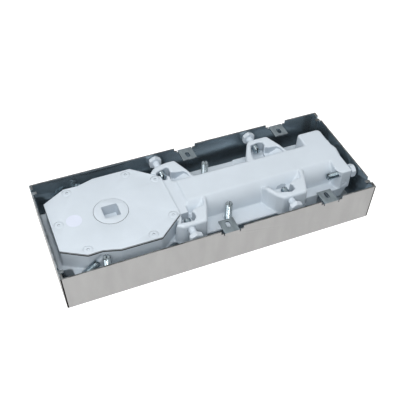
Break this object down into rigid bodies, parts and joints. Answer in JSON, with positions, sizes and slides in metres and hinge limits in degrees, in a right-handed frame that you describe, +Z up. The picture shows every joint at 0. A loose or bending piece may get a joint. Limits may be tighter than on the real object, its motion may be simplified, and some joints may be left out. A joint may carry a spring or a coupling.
{
  "type": "floor spring",
  "caption": "Hydraulic floor spring: cast closer with a square-socket spindle, adjustable on screws inside a sheet-steel floor box with cover tabs.",
  "frame": {"origin": "on the spindle axis, on the underside of the floor box", "axes": "+X along the cylinder away from the spindle, +Z up towards the door, +Y towards the wall that the bolt heads touch"},
  "size_m": [0.3448, 0.135, 0.0475],
  "materials": {
    "casting_paint": "smooth pale blue-grey paint over a casting, slightly glossy",
    "painted_bolt": "zinc-plated screw painted over with the casting, bare at its slotted end",
    "zinc_screw": "bright zinc-plated thread",
    "box_steel": "zinc-coated sheet steel, brushed outside, darker inside",
    "seal_rubber": "black nitrile rubber",
    "label": "blank round label",
    "bearing_steel": "hardened and ground",
    "machined_steel": "turned and milled, oiled",
    "spring_steel": "oiled dark spring steel",
    "bronze": "plain bearing bronze and brass"
  },
  "bodies": {
    "box": {"box_shell": "box_steel", "left_end_plate": "box_steel", "right_end_plate": "box_steel"},
    "height_studs": {"left_height_studs": "zinc_screw", "middle_height_studs": "zinc_screw"},
    "closer": {"housing": "casting_paint", "lid": "casting_paint", "lid_gasket": "seal_rubber", "lid_screws": "casting_paint", "lid_label": "label", "upper_bearing": "bearing_steel", "spindle_seal": "seal_rubber", "lower_bearing": "bearing_steel", "thrust_washer": "bearing_steel", "rod_bush": "bronze", "cylinder_end_plug": "machined_steel", "end_plug_seal": "seal_rubber", "oil_filler_plug": "machined_steel"},
    "spindle": {"spindle": "casting_paint", "heart_cam": "machined_steel", "cam_key": "machined_steel"},
    "carriage": {"lower_plate": "machined_steel", "upper_plate": "machined_steel", "plate_spacers": "machined_steel", "roller_pin": "machined_steel", "crosshead": "machined_steel", "piston_rod": "machined_steel", "main_spring": "spring_steel", "spring_plate": "machined_steel", "piston": "machined_steel", "piston_seal": "seal_rubber", "rod_nut": "machined_steel"},
    "cam_roller": {"cam_roller": "bearing_steel"},
    "check_valve_ball": {"check_valve_ball": "bearing_steel"},
    "closing_valve": {"closing_speed_valve": "bronze", "closing_valve_seal": "seal_rubber"},
    "latching_valve": {"latching_speed_valve": "bronze", "latching_valve_seal": "seal_rubber"},
    "front_left_bolt": {"front_left_bolt": "painted_bolt"},
    "front_right_bolt": {"front_right_bolt": "painted_bolt"},
    "back_left_bolt": {"back_left_bolt": "painted_bolt"},
    "back_right_bolt": {"back_right_bolt": "painted_bolt"},
    "end_bolt": {"end_bolt": "painted_bolt"},
    "front_clamp_screw": {"front_clamp_screw": "zinc_screw"},
    "back_clamp_screw": {"back_clamp_screw": "zinc_screw"}
  },
  "joints": [
    {"name": "lateral_adjust", "type": "slide", "parent": "box", "child": "height_studs", "axis": [0, 1, 0], "range_m": [-0.0065, 0]},
    {"name": "height_adjust", "type": "slide", "parent": "height_studs", "child": "closer", "axis": [0, 0, 1], "range_m": [-0.0008, 0.002]},
    {"name": "spindle_turn", "type": "hinge", "parent": "closer", "child": "spindle", "pos_m": [0, 0, 0.0435], "axis": [0, 0, 1], "range_deg": [0, 130], "stiffness_Nm_per_rad": 6},
    {"name": "carriage_slide", "type": "slide", "parent": "closer", "child": "carriage", "axis": [1, 0, 0], "range_m": [-0.01402, 0], "deforming": ["main_spring"]},
    {"name": "roller_turn", "type": "hinge", "parent": "carriage", "child": "cam_roller", "pos_m": [-0.0195, 0, 0.0243], "axis": [0, 0, 1], "continuous": true},
    {"name": "check_valve_lift", "type": "slide", "parent": "carriage", "child": "check_valve_ball", "axis": [1, 0, 0], "range_m": [0, 0.001]},
    {"name": "closing_speed_turn", "type": "hinge", "parent": "closer", "child": "closing_valve", "pos_m": [0.257, -0.0388, 0.0285], "axis": [0, -1, 0], "range_deg": [-180, 180]},
    {"name": "latching_speed_turn", "type": "hinge", "parent": "closer", "child": "latching_valve", "pos_m": [0.257, 0.0368, 0.0285], "axis": [0, 1, 0], "range_deg": [-180, 180]},
    {"name": "front_left_travel", "type": "slide", "parent": "closer", "child": "front_left_bolt", "axis": [0, 1, 0], "range_m": [0, 0.0065]},
    {"name": "front_right_travel", "type": "slide", "parent": "closer", "child": "front_right_bolt", "axis": [0, 1, 0], "range_m": [0, 0.0065]},
    {"name": "back_left_travel", "type": "slide", "parent": "closer", "child": "back_left_bolt", "axis": [0, 1, 0], "range_m": [0, 0.0065]},
    {"name": "back_right_travel", "type": "slide", "parent": "closer", "child": "back_right_bolt", "axis": [0, 1, 0], "range_m": [0, 0.0065]},
    {"name": "end_bolt_turn", "type": "hinge", "parent": "closer", "child": "end_bolt", "pos_m": [0.2701, -0.0332, 0.0393], "axis": [1, 0, 0], "range_deg": [-180, 180]},
    {"name": "front_clamp_travel", "type": "slide", "parent": "closer", "child": "front_clamp_screw", "axis": [-0.7501, 0, -0.6613], "range_m": [0, 0.004]},
    {"name": "back_clamp_travel", "type": "slide", "parent": "closer", "child": "back_clamp_screw", "axis": [-0.7501, 0, -0.6613], "range_m": [0, 0.004]}
  ],
  "couplings": [
    {"joint": "carriage_slide", "follows": "spindle_turn", "m_per_rad": -0.0061703},
    {"joint": "back_left_travel", "follows": "lateral_adjust", "ratio": -1},
    {"joint": "back_right_travel", "follows": "lateral_adjust", "ratio": -1},
    {"joint": "front_left_travel", "follows": "lateral_adjust", "ratio": -1},
    {"joint": "front_right_travel", "follows": "lateral_adjust", "ratio": -1}
  ]
}
